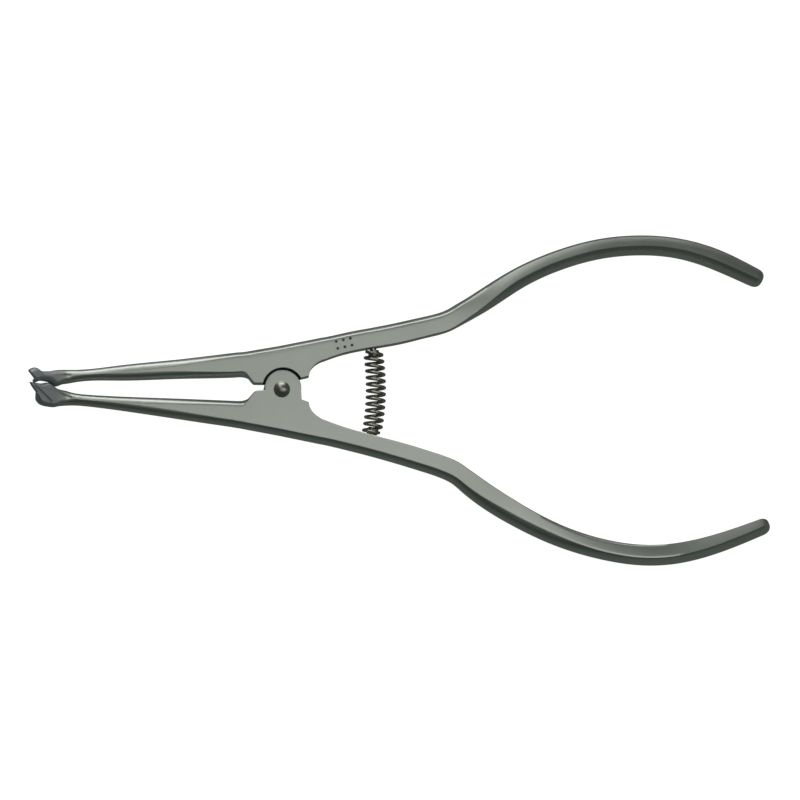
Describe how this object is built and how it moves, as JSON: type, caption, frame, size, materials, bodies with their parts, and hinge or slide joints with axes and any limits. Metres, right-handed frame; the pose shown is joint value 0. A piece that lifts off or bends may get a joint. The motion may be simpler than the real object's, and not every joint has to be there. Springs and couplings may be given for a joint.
{
  "type": "reverse-action spring pliers",
  "caption": "Non-crossing steel pliers with forked, grooved tips, a lap joint with a domed rivet, bowed handles and a coil spring that keeps the tips together",
  "frame": {"origin": "on the rivet's axis, in the back face of the joint, where the rivet's flush end lies", "axes": "+X from the tips to the handle ends, +Y to the upper handle, +Z out of the front face with the rivet's dome"},
  "size_m": [0.1786, 0.0793, 0.0085],
  "materials": {
    "upper_arm": "satin, bead blasted",
    "lower_arm": "satin, bead blasted",
    "pivot_rivet": "polished",
    "return_spring": "oiled spring wire",
    "upper_spring_peg": "satin",
    "lower_spring_peg": "satin"
  },
  "bodies": {
    "lower": {"lower_arm": "lower_arm", "pivot_rivet": "pivot_rivet", "lower_spring_peg": "lower_spring_peg", "return_spring": "return_spring"},
    "upper": {"upper_arm": "upper_arm", "upper_spring_peg": "upper_spring_peg"}
  },
  "joints": [
    {"name": "pivot", "type": "hinge", "parent": "lower", "child": "upper", "pos_m": [0, 0, 0.0025], "axis": [0, 0, 1], "range_deg": [-25, 0], "stiffness_Nm_per_rad": 0.95, "springref_deg": 5.16, "deforming": ["return_spring"]}
  ]
}
